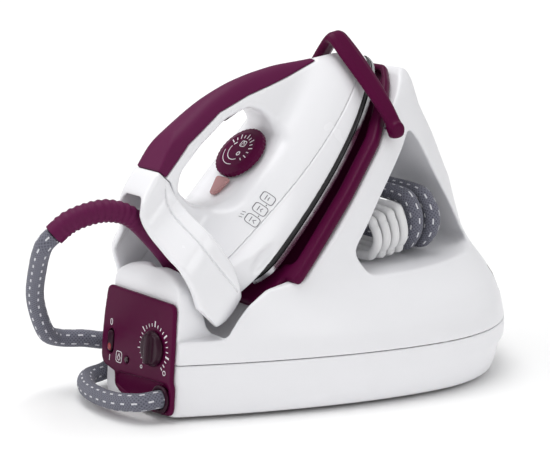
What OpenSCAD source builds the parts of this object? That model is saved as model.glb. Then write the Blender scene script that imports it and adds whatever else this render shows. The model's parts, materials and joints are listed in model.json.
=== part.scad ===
// Steam generator iron: a pressing iron parked nose-up on a water-filled steam base.
// Frame: origin on the table under the middle of the base, +Z up, -Y is the control panel side.

/* [Base] */
// Widest part of the base
base_w = 250; // [244:1:256]
// Distance from the origin to the front face at table level
base_front = 178; // [176:1:180]
// Distance from the origin to the rear wall
base_rear = 161; // [160:1:164]
// Height of the parting line between the tray and the upper housing
parting_z = 44; // [43:0.5:45]
// Wall thickness of the moulded base shells
base_wall = 2.6; // [2.2:0.1:3]

/* [Control panel] */
// Tilt of the control panel away from vertical, degrees
panel_tilt = 6; // [5:0.5:7]
// Height of the panel plate measured along its face
panel_h = 86; // [84:1:88]
// Thickness of the panel plate
panel_t = 4; // [3:0.5:4.5]
// Radius of the steam output knob
knob_r = 14; // [12:0.5:15]

/* [Iron] */
// Slope of the parked sole above the horizontal, degrees
iron_slope = 45; // [45:1:45]
// Length of the soleplate
sole_l = 221; // [218:1:222]
// Width of the soleplate
sole_w = 117; // [115:1:118]
// Thickness of the soleplate
sole_t = 5; // [4:0.5:5]
// Radius of the fabric dial
dial_r = 23; // [22:0.5:23.5]
// Wall thickness of the iron's moulded shells
iron_wall = 2.4; // [2:0.1:2.6]

/* [Lock hoop] */
// Height of the hinge pins above the table
hoop_z = 205.5; // [205:0.5:206]
// Distance of the hinge pins behind the origin
hoop_y = 30; // [29:0.5:31]
// Width of the hoop's band
hoop_band = 16; // [14:1:16]

/* [Hose and cord] */
// Radius of the woven steam hose
hose_r = 7; // [6.5:0.1:7.2]
// Radius of the power cord
cord_r = 3.7; // [3.4:0.1:3.8]

/* [Hidden] */
$fn = 48;
gap = 0.3;

plum = [0.33, 0.12, 0.25];
plum_dark = [0.2, 0.07, 0.15];
white = [0.92, 0.92, 0.94];
pale_grey = [0.76, 0.76, 0.78];
hose_grey = [0.42, 0.43, 0.49];
steel = [0.75, 0.75, 0.77];

// ---------- shared geometry helpers ----------

// Value of a curve given as [key, value] pairs, at key k
function at(pairs, k) = lookup(k, pairs);

// One closed ring at height z: blunt end at y0, widest half width w at ym, rounded end at y1.
// f is the blunt end's share of w, px the taper towards it, ex and ey shape the rounded end.
function ring(z, y0, ym, y1, w, f, px, ex, ey, n) =
    let(side = concat(
        [for (i = [0 : n]) let(t = 1 - i / n) [w * (1 - (1 - f) * pow(t, px)), ym - (ym - y0) * t]],
        [for (i = [1 : n]) let(a = 89 * i / n) [w * pow(cos(a), ex), ym + (y1 - ym) * pow(sin(a), ey)]]
    ))
    concat(
        [for (p = side) [p[0], p[1], z]],
        [for (i = [len(side) - 1 : -1 : 0]) [-side[i][0], side[i][1], z]]
    );

// Solid skin over a stack of rings that all have the same number of points
module skin(rings) {
    n = len(rings[0]);
    k = len(rings);
    points = [for (r = rings) for (p = r) p];
    bottom = [[for (i = [0 : n - 1]) i]];
    top = [[for (i = [n - 1 : -1 : 0]) (k - 1) * n + i]];
    walls = [for (j = [0 : k - 2]) for (i = [0 : n - 1]) let(m = (i + 1) % n)
        [j * n + i, (j + 1) * n + i, (j + 1) * n + m, j * n + m]];
    polyhedron(points, concat(bottom, walls, top));
}

// Extrudes a drawing of the (Y, Z) plane across X, half a width to each side
module across(half) {
    rotate([90, 0, 90]) translate([0, 0, -half]) linear_extrude(2 * half) children();
}

// Puts parts drawn flat on the table into the parked iron's place: x across, y along the sole, z off it
iron_y = -92;
iron_z = 102;
module parked() {
    translate([0, iron_y, iron_z]) rotate([iron_slope, 0, 0]) children();
}

// Puts parts drawn on the panel's face into place: x across, z up the face, y into the housing
panel_y = -(base_front + 4);
panel_z = 5;
module on_panel() {
    translate([0, panel_y, panel_z]) rotate([-panel_tilt, 0, 0]) children();
}

// Points of a smooth path through given points (Catmull-Rom), m steps a span
function path_point(p, i, t) =
    let(n = len(p), a = p[max(i - 1, 0)], b = p[i], c = p[i + 1], d = p[min(i + 2, n - 1)])
    0.5 * ((2 * b) + (c - a) * t + (2 * a - 5 * b + 4 * c - d) * t * t
        + (3 * b - a - 3 * c + d) * t * t * t);
function smooth_path(p, m) = concat(
    [for (i = [0 : len(p) - 2]) for (j = [0 : m - 1]) path_point(p, i, j / m)],
    [p[len(p) - 1]]
);
function unit(v) = v / norm(v);

// Frames carried along a path without twist: each entry is [point, tangent, side]
function next_side(s, t) = unit(s - t * (s * t));
function tangents(q) = [for (i = [0 : len(q) - 1]) unit(q[min(i + 1, len(q) - 1)] - q[max(i - 1, 0)])];
function sides(t, s0, i = 0, out = []) =
    i == len(t) ? out
    : let(s = next_side(i == 0 ? s0 : out[i - 1], t[i])) sides(t, s0, i + 1, concat(out, [s]));

// Round tube along a path; radius may be one number or one for each path point
module tube_along(q, r, n, s0 = [0, 0, 1]) {
    t = tangents(q);
    s = sides(t, s0);
    rings = [for (i = [0 : len(q) - 1])
        let(c = cross(t[i], s[i]), ri = is_list(r) ? r[i] : r)
        [for (k = [0 : n - 1]) q[i] + ri * (cos(360 * k / n) * s[i] + sin(360 * k / n) * c)]];
    skin(rings);
}

// ---------- base: outer form ----------

half_w = base_w / 2;
// Half width, widest place, rear end and blunt-end share of the base's plan at each height
base_half = [[0, half_w - 9], [4, half_w - 5], [14, half_w - 1.5], [28, half_w], [44, half_w - 0.5],
    [60, half_w - 5], [75, half_w - 14], [88, half_w - 26], [98, half_w - 36], [110, half_w - 44],
    [150, 70], [190, 59], [215, 45], [235, 33], [252, 16]];
base_mid = [[0, 40], [44, 46], [75, 38], [98, 20], [110, 0], [150, -40], [190, -10], [235, 40], [252, 60]];
base_end = [[0, base_rear - 13], [20, base_rear - 9], [27, base_rear - 8], [29, base_rear],
    [60, base_rear], [75, base_rear - 3], [82, base_rear - 6], [98, base_rear - 15], [110, base_rear - 19],
    [150, 134], [190, 114], [215, 100], [240, 92], [252, 86]];
base_share = [[0, 0.38], [44, 0.37], [75, 0.38], [98, 0.46], [110, 0.5], [150, 0.6], [252, 0.8]];
base_steps = 14;

function front_at(z) = -base_front + (z - panel_z) * tan(panel_tilt);
function base_ring(z, t) = ring(z, front_at(min(z, 112)) + t, at(base_mid, z), at(base_end, z) - t,
    at(base_half, z) - t, at(base_share, z), 1.6, 1, 0.91, base_steps);

// Side view of the upper housing: nose, saddle for the iron's heel, sloping arm, tower and rear
function tower_side(low) = [
    [-200, low], [-200, 99], [-169.5, 99], [-162, 111], [-156, 112], [-151.5, 106],
    [-148.5, 86], [-144, 69], [-137, 61], [-126, 58.5], [-112, 62], [-104, 69],
    [57.5, 230.5], [68, 242], [75, 246.5], [83, 244], [93, 228], [111, 196], [131, 152], [147, 112],
    [156, 84], [200, 80], [200, low]
];
module tunnel_side(t) {
    offset(r = 9 + t) offset(delta = -9)
        polygon([[60, 203], [-26, 117], [-16, 97], [126, 97], [127, 101]]);
}
tank_y = 128;
tank_valve_x = 40;
tank_top = 80;
module housing_side(t) {
    difference() {
        offset(delta = -t) polygon(tower_side(t > 0 ? parting_z - 12 : parting_z));
        tunnel_side(t);
        translate([tank_y - t, 0]) square([100, tank_top + t]);
    }
}
housing_z = [44, 52, 60, 68, 75, 82, 88, 93, 98, 104, 110, 120, 135, 150, 170, 190, 203, 215, 226,
    235, 243, 252];
// Half of the nose seen from the front, from its straight side to its arched top
nose_arch = [[45, 62], [45, 90], [44, 97], [40, 103], [30, 108], [14, 111.4], [0, 112]];
// The cheeks beside the iron's heel stand higher than the saddle between them
cheek_half = 63;
module cheeks(t) {
    intersection() {
        across(160) offset(delta = -t)
            polygon([[-147, 20], [-147, 67], [-138, 68], [-119, 84], [-102, 94], [-82, 97], [-82, 20]]);
        for (s = [-1, 1]) translate([s * (cheek_half + t + 60), 0, 60]) cube([120, 400, 100], center = true);
    }
}
module housing_solid(t) {
    difference() {
        intersection() {
            skin([for (z = housing_z) base_ring(z == 44 && t > 0 ? 34 : z, t)]);
            union() {
                across(160) housing_side(t);
                cheeks(t);
            }
        }
        // the nose is straight-sided and arched where the iron's heel flanges pass it
        translate([0, -140 - t, 0]) rotate([90, 0, 0]) linear_extrude(60) offset(delta = t)
            for (s = [-1, 1]) polygon(concat([for (p = nose_arch) [s * p[0], p[1]]],
                [[0, 150], [s * 120, 150], [s * 120, 62]]));
    }
}

// ---------- base: shells and fittings ----------

hose_exit_x = 36;
hose_exit_up = 12;
knob_x = 21;
knob_up = 48;
switch_x = -38;
switch_up = 41;
lens_x = -14;
lens_up = 31;

// A round cutter through the panel and the wall behind it
module panel_hole(x, up, r) {
    on_panel() translate([x, -2, up]) rotate([-90, 0, 0]) cylinder(r = r, h = 18);
}

module switch_well() on_panel() translate([switch_x, 4, switch_up]) cube([11, 24, 22], center = true);

screw_spots = [[0, -120], [-62, -30], [62, -30], [-50, 100], [50, 100]];
foot_spots = [[-40, -125], [40, -125], [-74, 88], [74, 88]];

module base_tray() color(white) resize([0, 0, 0]) difference() {
    skin([for (z = [3, 5, 9, 14, 20, 26.5, 28.5, 36, parting_z - gap]) base_ring(z, 0)]);
    skin([for (z = [8.4, 20, 28, parting_z + 2]) base_ring(z, base_wall)]);
    skin([for (z = [0, 5.8]) base_ring(z == 0 ? 3 : z, base_wall + 2)]);
    translate([0, 0, -5]) skin([for (z = [3, 10]) base_ring(3, base_wall + 2)]);
    panel_hole(hose_exit_x, hose_exit_up, 9.6);
    panel_hole(lens_x, lens_up, 3.2);
    switch_well();
    for (p = screw_spots) translate([p[0], p[1], 0]) cylinder(r = 2.2, h = 12);
}

module bottom_cover() color(pale_grey) difference() {
    union() {
        translate([0, 0, 3]) linear_extrude(2.5)
            polygon([for (p = base_ring(3, base_wall + 2.5)) [p[0], p[1]]]);
        translate([0, 0, 0.2]) linear_extrude(2.9) difference() {
            polygon([for (p = base_ring(3, 12)) [p[0], p[1]]]);
            polygon([for (p = base_ring(3, 16)) [p[0], p[1]]]);
        }
    }
    for (p = screw_spots) translate([p[0], p[1], -1]) cylinder(r = 2.2, h = 12);
    for (i = [-3 : 3]) translate([i * 9, 30, 0]) cube([3, 50, 20], center = true);
}

module rubber_feet() color("dimgray")
    for (p = foot_spots) translate([p[0], p[1], 0]) union() {
        cylinder(r = 9, h = 1.8);
        translate([0, 0, 1.8]) cylinder(r1 = 9, r2 = 7.5, h = 1);
    }

module housing_screws() color(steel)
    for (p = screw_spots) translate([p[0], p[1], 0]) difference() {
        union() {
            translate([0, 0, 0.9]) cylinder(r = 3.6, h = 2);
            translate([0, 0, 2.9]) cylinder(r = 1.9, h = 15);
        }
        for (a = [0, 90]) rotate([0, 0, a]) translate([0, 0, 1.2]) cube([4, 0.9, 1.4], center = true);
    }

module base_housing() color(white) resize([0, 0, 0]) difference() {
    housing_solid(0);
    housing_solid(base_wall);
    panel_hole(knob_x, knob_up, 4.5);
    switch_well();
    translate([tank_valve_x, tank_y - 6, 52]) rotate([-90, 0, 0]) cylinder(r = 4.2, h = 12);
    parked() translate([0, boot_u, cup_low]) cylinder(r = cup_r + 0.8, h = 60);
    translate([0, hoop_y, hoop_z]) rotate([0, 90, 0]) cylinder(r = 2.6, h = 200, center = true);
}

// Outline of the control panel on its own face
module panel_outline() {
    offset(r = 6) offset(delta = -6) polygon([
        [-47, panel_h - 1], [44, panel_h], [45.5, 60], [46.5, 27], [49, 23], [50, 4], [46, 1], [10, -2],
        [-10, 1], [-22, 4], [-29, 8], [-30, 18], [-46, 21], [-50, 26], [-51, 40], [-50, 62]
    ]);
}
module switch_slot(g) {
    hull() for (s = [-1, 1]) translate([switch_x, switch_up + s * (5 + g / 2)]) circle(r = 3.6 + g / 3);
}
module control_panel() color(plum) on_panel() difference() {
    rotate([90, 0, 0]) translate([0, 0, -panel_t + gap]) linear_extrude(panel_t - gap) difference() {
        panel_outline();
        switch_slot(1.4);
    }
    translate([knob_x, -1, knob_up]) rotate([-90, 0, 0]) cylinder(r = 3.06, h = 10);
    translate([lens_x, -1, lens_up]) rotate([-90, 0, 0]) cylinder(r = 2.7, h = 10);
    translate([hose_exit_x, -1, hose_exit_up]) rotate([-90, 0, 0]) cylinder(r = 9.3, h = 10);
}

module steam_knob() color(plum_dark) on_panel() translate([knob_x, 0, knob_up]) rotate([90, 0, 0])
    union() {
        translate([0, 0, gap]) cylinder(r = knob_r, h = 2.2);
        translate([0, 0, gap + 2.2]) cylinder(r1 = knob_r - 0.8, r2 = knob_r - 2, h = 2.2);
        translate([0, 0, 5.6]) cube([5.5, 2 * knob_r - 4.5, 5], center = true);
        translate([0, 0, -16]) cylinder(r = 3, h = 17);
    }

module power_switch() color(plum_dark) on_panel() union() {
    rotate([90, 0, 0]) translate([0, 0, -5]) linear_extrude(5.8) switch_slot(0);
    translate([switch_x, 4.5, switch_up]) rotate([0, 90, 0]) cylinder(r = 1.2, h = 8, center = true);
}

module indicator_lens() color("darkred") on_panel() translate([lens_x, 0, lens_up])
    rotate([90, 0, 0]) union() {
        translate([0, 0, -8]) cylinder(r = 2.6, h = 8.4);
        translate([0, 0, 0.4]) cylinder(r1 = 2.6, r2 = 1.6, h = 0.7);
    }

module hose_grommet() color(plum_dark) on_panel() translate([hose_exit_x, 0, hose_exit_up])
    rotate([90, 0, 0]) difference() {
        union() {
            translate([0, 0, gap]) cylinder(r = 11, h = 2.2);
            translate([0, 0, -9]) cylinder(r = 9.2, h = 9.4);
        }
        translate([0, 0, -10]) cylinder(r = hose_r + 0.6, h = 16);
    }

// ---------- base: rest and lock hoop ----------

rest_half = [[5, 77], [30, 75], [90, 68], [142, 57], [178, 39], [200, 23], [214, 9]];
rest_rear = 5;
function rest_outline(t) = concat(
    [for (u = [rest_rear + t, 22, 30, 60, 90, 118, 142, 160, 178, 190, 200, 207, 214 - t / 2])
        [at(rest_half, u) - t * (u > 195 ? 0.55 : 1), u]],
    [for (u = [214 - t / 2, 207, 200, 190, 178, 160, 142, 118, 90, 60, 30, 22, rest_rear + t])
        [-at(rest_half, u) + t * (u > 195 ? 0.55 : 1), u]]
);
rest_low = -13.4;
rest_floor = -11;
rest_rim = -5;
rest_tongue = 52;
module iron_rest() color(plum) parked() union() {
    translate([0, 0, rest_low]) linear_extrude(rest_floor - rest_low) {
        offset(r = 5) offset(delta = -5) polygon(rest_outline(0));
        translate([-rest_tongue, -24]) square([2 * rest_tongue, 60]);
    }
    translate([0, 0, rest_low]) linear_extrude(rest_rim - rest_low)
        polygon([[62.6, 12], [62.6, -8], [rest_tongue, -22], [-rest_tongue, -22], [-62.6, -8], [-62.6, 12]]);
    translate([0, 0, rest_floor]) linear_extrude(rest_rim - rest_floor) difference() {
        offset(r = 5) offset(delta = -5) polygon(rest_outline(0));
        offset(r = 5) offset(delta = -5) polygon(rest_outline(13));
        translate([0, -30]) square([2 * rest_tongue, 100], center = true);
    }
}

module rest_pads() color("dimgray") parked() {
    for (s = [-1, 1]) translate([s * 28, 45, rest_floor + 0.1]) linear_extrude(10.6)
        offset(r = 3) square([10, 30], center = true);
    translate([0, 160, rest_floor + 0.1]) linear_extrude(10.6) offset(r = 3) square([18, 14], center = true);
}

// Half width of the hoop's middle line at height h above its hinge pins
hoop_h = 72.5;
hoop_lean = 10;
hoop_half = 61;
hoop_t = 6.5;
hoop_points = 20;
function hoop_x(h) = hoop_half * (1 - pow(h / hoop_h, 1.08));
module hoop_plate(grow) {
    offset(r = grow + 8) offset(delta = -8) polygon(concat(
        [for (i = [0 : hoop_points]) let(h = -20 + (hoop_h + 20) * i / hoop_points) [hoop_x(max(h, 0)), h]],
        [for (i = [hoop_points : -1 : 0]) let(h = -20 + (hoop_h + 20) * i / hoop_points) [-hoop_x(max(h, 0)), h]]
    ));
}
module on_hoop() translate([0, hoop_y, hoop_z]) rotate([hoop_lean, 0, 0]) children();
eye_r = 8;
module lock_hoop() color(plum) on_hoop() difference() {
    union() {
        rotate([90, 0, 0]) linear_extrude(hoop_band, center = true) difference() {
            hoop_plate(hoop_t / 2);
            hoop_plate(-hoop_t / 2);
            translate([0, -50]) square([300, 100], center = true);
        }
        for (s = [-1, 1]) translate([s * hoop_half, 0, 0]) rotate([0, 90, 0])
            cylinder(r = eye_r, h = hoop_t, center = true);
    }
    rotate([0, 90, 0]) cylinder(r = 2.56, h = 200, center = true);
}

module hoop_pins() color("black")
    for (s = [-1, 1]) translate([s * 58, hoop_y, hoop_z]) rotate([0, 90, 0])
        cylinder(r = 2.5, h = 15, center = true);

// ---------- base: water tank ----------

tank_wall = 2.2;
flap_half = 26;
flap_y = base_rear - 4.8;
flap_low = 57;
flap_top = 73;
module tank_solid(t) {
    intersection() {
        skin([for (z = [44, 52, 60, 68, 75, 82]) base_ring(z, t)]);
        translate([-150, tank_y + gap + t, parting_z + gap + t])
            cube([300, 80, tank_top - parting_z - 2 * gap - 2 * t]);
    }
}
module water_tank() color(pale_grey) resize([0, 0, 0]) difference() {
    tank_solid(0);
    difference() {
        tank_solid(tank_wall);
        translate([-flap_half - 3, flap_y - 7, 40]) cube([2 * flap_half + 6, 20, 50]);
    }
    translate([-flap_half - gap, flap_y - 3, flap_low - gap - 2])
        cube([2 * (flap_half + gap), 20, flap_top - flap_low + 2 * gap + 2]);
    translate([0, flap_y - 13, 66]) rotate([-90, 0, 0]) cylinder(r = 6, h = 12);
    translate([0, flap_y, flap_low + 1]) rotate([0, 90, 0])
        cylinder(r = 1.3, h = 2 * flap_half + 5, center = true);
    translate([tank_valve_x, tank_y - 2, 52]) rotate([-90, 0, 0]) cylinder(r = 4.3, h = 8);
}

module tank_lid() color(white) union() {
    translate([-flap_half, flap_y - 1.8, flap_low + 1]) cube([2 * flap_half, 2.6, flap_top - flap_low - 1]);
    translate([0, flap_y, flap_low + 1]) rotate([0, 90, 0]) cylinder(r = 1.22, h = 2 * flap_half + 4, center = true);
}

module tank_valve() color("dimgray") translate([tank_valve_x, tank_y - 1.4, 52]) rotate([-90, 0, 0]) union() {
    cylinder(r = 3, h = 9);
    translate([0, 0, 4.6]) cylinder(r = 5.5, h = 2);
}

// ---------- base: inside ----------

boiler_r = 36;
boiler_z = 51;
boiler_l = 136;
boiler_y = -70;
module boiler_half(up) {
    translate([0, boiler_y, boiler_z]) difference() {
        union() {
            rotate([-90, 0, 0]) cylinder(r = boiler_r, h = boiler_l);
            translate([0, boiler_l / 2, 0]) cube([2 * boiler_r + 14, boiler_l + 12, 5.4], center = true);
        }
        translate([0, 2, 0]) rotate([-90, 0, 0]) cylinder(r = boiler_r - 2, h = boiler_l - 4);
        translate([0, boiler_l / 2, up ? -99.3 : 99.3]) cube([200, 300, 200], center = true);
    }
}
module boiler_lower() color("silver") boiler_half(false);
module boiler_upper() color("silver") boiler_half(true);
module boiler_gasket() color("black") translate([0, boiler_y + boiler_l / 2, boiler_z]) difference() {
    cube([2 * boiler_r + 12, boiler_l + 10, 1], center = true);
    cube([2 * boiler_r + 1, boiler_l - 3, 3], center = true);
}
module boiler_element() color("dimgray") translate([0, boiler_y + 12, boiler_z - 14]) union() {
    for (s = [-1, 1]) translate([s * 16, 0, 0]) rotate([-90, 0, 0]) cylinder(r = 4, h = 90);
    translate([0, 90, 0]) rotate_extrude(angle = 180) translate([16, 0]) circle(r = 4);
}
module boiler_thermostat() color("ivory") translate([0, -30, boiler_z + boiler_r + 0.2]) union() {
    cylinder(r = 8, h = 4);
    for (s = [-1, 1]) translate([s * 4, 0, 5]) cube([1, 5, 3], center = true);
}
module water_pump() color("ivory") translate([78, 50, 26]) union() {
    rotate([-90, 0, 0]) cylinder(r = 13, h = 46);
    translate([-12, 8, -14]) cube([24, 28, 26]);
    translate([0, -14, 0]) rotate([-90, 0, 0]) cylinder(r = 3, h = 16);
    translate([0, 44, 0]) rotate([-90, 0, 0]) cylinder(r = 3, h = 10);
}
module water_tubes() color("lightblue") union() {
    tube_along(smooth_path([[78, 35, 26], [78, 20, 26], [56, 4, 26], [40, 0, 30]], 3), 2.5, 10);
    tube_along(smooth_path([[78, 105, 26], [78, 113, 27], [60, 118, 33], [40, 122, 44]], 3), 2.5, 10);
}
module steam_valve() color("goldenrod") translate([-46, -112, 26]) union() {
    cylinder(r = 11, h = 26);
    translate([-9, -9, -9]) cube([18, 18, 9]);
}
module steam_pipe() color("peru") union() {
    tube_along(smooth_path([[-46, -100.6, 22], [-46, -90, 22], [-38, -80, 22], [-20, -76.4, 26]], 3), 2.5, 10);
    tube_along(smooth_path([[-46, -123.4, 22], [-40, -134, 19], [-8, -146, 17.5], [28, -153, 17.5]], 3), 2.5, 10);
}
module circuit_board() color("darkgreen") translate([-36, -158.5, 46]) union() {
    cube([62, 1.6, 34]);
    translate([8, 1.5, 6]) cube([14, 8, 12]);
    translate([40, 1.5, 16]) rotate([-90, 0, 0]) cylinder(r = 5, h = 8);
    translate([26, 1.5, 18]) cube([9, 7, 9]);
}

// ---------- hose and cord ----------

// Half width of the base at a place along it, at height z
function flank(y, z) = let(m = at(base_mid, z), w = at(base_half, z), f = at(base_share, z))
    y < m ? w * (1 - (1 - f) * pow((m - y) / (m - front_at(min(z, 112))), 1.6))
    : w * sqrt(max(0, 1 - pow((y - m) / (at(base_end, z) - m), 2.2)));
function beside(y, z) = [-(flank(y, z) + hose_r + 3.8), y, z];

// Point on the outlet's axis, d inside the panel's face
function outlet(d) = [hose_exit_x, panel_y + hose_exit_up * sin(panel_tilt) + d * cos(panel_tilt),
    panel_z + hose_exit_up * cos(panel_tilt) - d * sin(panel_tilt)];
boot_end = [-17, -239, 143];
hose_near = 50;
hose_points = [
    outlet(14), outlet(7), outlet(0), outlet(-5), [30, -197, 16], [8, -204, 13], [-20, -204, 11.5], [-42, -198, 11],
    [-60, -185, 12], beside(-162, 14), beside(-120, 26), beside(-70, 52), beside(-15, 82),
    [-94, 30, 106], [-76, 54, 107], [-40, 56, 106], [hose_near - 14, 56, 106],
    [hose_near + 2, 56, 113], [hose_near + 7, 56, 126], [hose_near + 2, 56, 139], [hose_near - 14, 56, 146],
    [-40, 58, 146], [-62, 63, 145], [-72, 68, 136], [-72, 72, 118], [-60, 73, 107], [-40, 73, 105.5],
    [hose_near - 14, 73, 106],
    [hose_near + 3, 73, 113], [hose_near + 9, 73, 126], [hose_near + 3, 73, 139], [hose_near - 14, 73, 146],
    [-40, 74, 146], [-68, 72, 148], [-92, 56, 144], beside(18, 118), beside(-30, 100),
    beside(-75, 76), beside(-120, 50), beside(-158, 38),
    [-68, -184, 42], [-77, -203, 44], [-72, -217, 54], [-61, -231, 84], [-40, -240, 114],
    boot_end + [-6, -5.5, -9], boot_end + [-0.3, -0.3, -0.4]
];
module steam_hose() color(hose_grey) tube_along(smooth_path(hose_points, 3), hose_r, 10);

cord_near = 58;
cord_pitch = 9.2;
cord_low = 103;
cord_high = 133;
function hairpin(i) = let(y = 10 + i * cord_pitch, h = cord_high + i * 2) [
    [-40, y, cord_low + i], [cord_near - 12, y, cord_low + i], [cord_near + 1, y, cord_low + 5 + i],
    [cord_near + 6, y, (cord_low + h) / 2], [cord_near + 1, y, h - 4], [cord_near - 12, y, h + 1],
    [-40, y + 1, h + 1], [-52, y + 3, h - 4], [-57, y + cord_pitch / 2, (cord_low + h) / 2],
    [-52, y + cord_pitch - 2, cord_low + 5 + i]
];
plug_at = [-66, 100, 110];
cord_points = concat(
    [[-44, -4, 97.6], [-44, -3.8, 101.2], [-43.5, 0.5, 105], [-39, 6.5, 106], [-28, 9.6, 104.2]],
    [for (i = [0 : 3]) for (k = [1 : i == 3 ? 6 : 9]) hairpin(i)[k]],
    [[-58, 44, 148], [-66, 58, 160], [-74, 80, 158], [-90, 96, 138], [-92, 100, 118],
        plug_at + [-14, 0, 0], plug_at + [-0.3, 0, 0]]
);
module power_cord() color(white) tube_along(smooth_path(cord_points, 3), cord_r, 8);
module cord_grommet() color("dimgray") translate([-44, -4, 97.2]) difference() {
    cylinder(r = 7, h = 1.9);
    translate([0, 0, -1]) cylinder(r = cord_r + 0.5, h = 4);
}

module cord_plug() color(white) translate(plug_at) rotate([0, 90, 0]) union() {
    cylinder(r1 = 6, r2 = 8, h = 14);
    translate([0, 0, 14]) cylinder(r = 11, h = 16);
    translate([0, 0, 30]) cylinder(r = 9, h = 5);
}
module plug_pins() color(steel) translate(plug_at) rotate([0, 90, 0])
    for (s = [-1, 1]) translate([0, s * 5.5, 35.1]) cylinder(r = 2.4, h = 18);

// ---------- iron ----------

sole_y0 = -10;
sole_tip = sole_y0 + sole_l;
// Half width, nose, widest place and tip shape of the iron's body at each height off the sole
iron_half = [[0, sole_w / 2], [9, sole_w / 2 - 0.6], [15, sole_w / 2 - 2], [24, 52.5], [31, 48.5], [40, 41], [46, 34], [50, 26],
    [56, 20.5], [66, 18], [95, 17.5], [108, 16.5], [119, 13.5]];
iron_nose = [[0, sole_tip], [9, sole_tip - 2], [15, sole_tip - 5], [24, 200], [35, 190], [48, 174], [60, 160],
    [75, 143], [89, 123], [100, 104], [111, 77], [117, 45], [121, 20]];
iron_mid = [[0, 30], [24, 35], [40, 45], [52, 60], [66, 80], [89, 40], [121, 0]];
iron_tip = [[0, 1.35], [48, 1.35], [75, 1.1], [121, 0.9]];
iron_share = [[0, 0.7], [16, 0.75], [30, 0.93], [121, 0.93]];
iron_rear = -34;
iron_steps = 14;
function iron_ring(w, t) = ring(w, iron_rear, at(iron_mid, w), at(iron_nose, w) - 1.5 * t,
    at(iron_half, w) - t, at(iron_share, w), 3, at(iron_tip, w), 0.95, iron_steps);

// Height of the seam between skirt and body at a place along the sole
function seam_w(u) = 31 - 0.085 * (u - 25);

module sole_outline(d) {
    offset(delta = d) polygon([for (p = ring(0, sole_y0, 30, sole_tip, sole_w / 2, 0.8, 4, 1.35, 0.95, 20))
        [p[0], p[1]]]);
}
module soleplate() color(steel) parked() difference() {
    union() {
        linear_extrude(1.2) sole_outline(-1.2);
        translate([0, 0, 1.2]) linear_extrude(sole_t - 1.2) sole_outline(0);
    }
    for (i = [0 : 5]) for (s = [-1, 1]) {
        u = 25 + i * 28;
        translate([s * (46 - i * 5.6), u, -1]) cylinder(r = 1.6, h = 4);
    }
    translate([0, 186, -1]) cylinder(r = 1.6, h = 4);
}
module sole_element() color("dimgray") parked() translate([0, 0, sole_t + 3.6]) union() {
    for (s = [-1, 1]) translate([s * 30, 10, 0]) rotate([-90, 0, 0]) cylinder(r = 3.2, h = 70);
    translate([0, 80, 0]) rotate_extrude(angle = 180) translate([30, 0]) circle(r = 3.2);
}
module heat_shield() color([0.06, 0.06, 0.07]) parked() translate([0, 0, sole_t + 0.1])
    linear_extrude(3.8) difference() {
        sole_outline(-0.8);
        sole_outline(-5);
    }
module chamber_cover() color("silver") parked() translate([0, 66, sole_t + 7.4]) linear_extrude(2)
    offset(r = 8) polygon([[-30, -40], [30, -40], [24, 40], [0, 66], [-24, 40]]);

heel_seam = [[-24, 14], [-13.9, 36], [-10.5, 50], [-8, 62], [-3.5, 76.6], [1.1, 86.4], [4.3, 92.4], [8, 99],
    [8, 112.6]];
module hull_walls(t) {
    skin([for (w = [9.2, 15, 20, 24, 31, 36, 40, 43, 46, 48, 50, 53, 56, 60, 66, 75, 82, 89, 95, 100, 105,
        108, 111, 114, 117, 119.5]) iron_ring(w, t)]);
}
module iron_skirt() color(white) parked() resize([0, 0, 0]) difference() {
    intersection() {
        hull_walls(0);
        across(80) polygon([[-23.6, 9], [220, 9], [220, seam_w(220)], [-13.9, seam_w(-13.9)], [-23.4, 14]]);
    }
    hull_walls(iron_wall);
}

// Side view of the finger opening under the handle
module finger_opening(t) {
    offset(r = 5 + t) offset(delta = -5) polygon([[9, 68], [16, 57], [26, 50.5], [36, 47.6], [66, 47], [96, 47],
        [102, 56], [103, 68], [98, 79], [76, 90], [46, 95], [20, 95], [8, 88]]);
}
grip_line = [[8.4, 104.2], [40, 105], [77, 98], [104, 85.5], [140, 64.5], [171, 47.5]];
module body_side(t) {
    difference() {
        offset(delta = -t) polygon(concat(
            [[-13.6, seam_w(-13.6) + gap - (t > 0 ? 12 : 0)], [-10, 50], [-7.4, 62], [-3, 76.6], [1.6, 86.4],
                [4.8, 92.4], [8.4, 98.8]],
            grip_line,
            [[173, 49], [192, 34], [205, 20], [214, seam_w(214) + gap - (t > 0 ? 12 : 0)]]
        ));
        finger_opening(t);
    }
}
module iron_body() color(white) parked() resize([0, 0, 0]) difference() {
    intersection() {
        hull_walls(0);
        across(80) body_side(0);
    }
    intersection() {
        hull_walls(iron_wall);
        across(80) body_side(iron_wall);
    }
    translate([0, dial_u, 40]) cylinder(r = 4.4, h = 12);
    translate([0, lamp_u, 42]) cube([6.4, 8.4, 20], center = true);
    across(trigger_slot) polygon([[72.5, 84], [72.5, 93.6], [77, 92.6], [88, 88.6], [102, 84.2], [104, 80], [103.4, 73], [98, 76]]);
}

module grip_insert() color(plum) parked() resize([0, 0, 0]) intersection() {
    hull_walls(0);
    across(80) difference() {
        polygon(concat([for (p = grip_line) p + [0, gap]],
            [[172, 60], [120, 110], [45, 119], [26, 116.5], [8.4, 112.6]]));
        translate([16, 96]) square([30, 5]);
    }
}

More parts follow.
